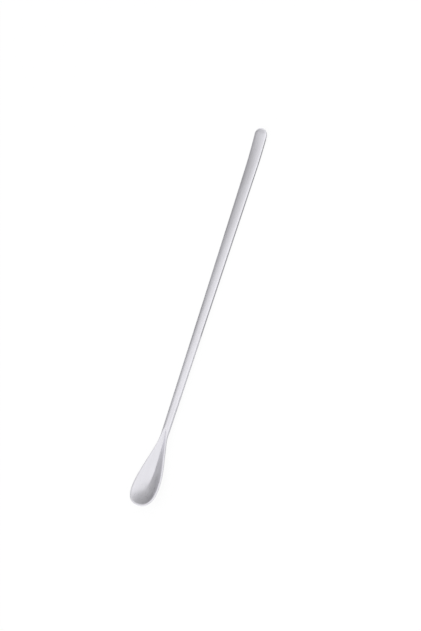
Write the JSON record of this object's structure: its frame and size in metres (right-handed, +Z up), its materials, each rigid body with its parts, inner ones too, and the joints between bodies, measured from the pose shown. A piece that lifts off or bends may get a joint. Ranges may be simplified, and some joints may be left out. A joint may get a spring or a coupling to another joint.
{
  "type": "coffee spoon",
  "caption": "Long-handled coffee spoon in satin stainless steel: a small egg-shaped bowl whose hollow runs out in a V-shaped crease in the neck, and a slim tapered handle.",
  "frame": {"origin": "on the surface that the spoon lies on, under the middle of its length and width", "axes": "+X along the spoon from the bowl to the end of the handle, +Z up out of the bowl, with the spoon lying on its back as it comes to rest on a table"},
  "size_m": [0.21, 0.0168, 0.0067],
  "materials": {
    "satin_stainless": "fine satin, ground along the length"
  },
  "bodies": {
    "root": {"spoon": "satin_stainless"}
  },
  "joints": []
}
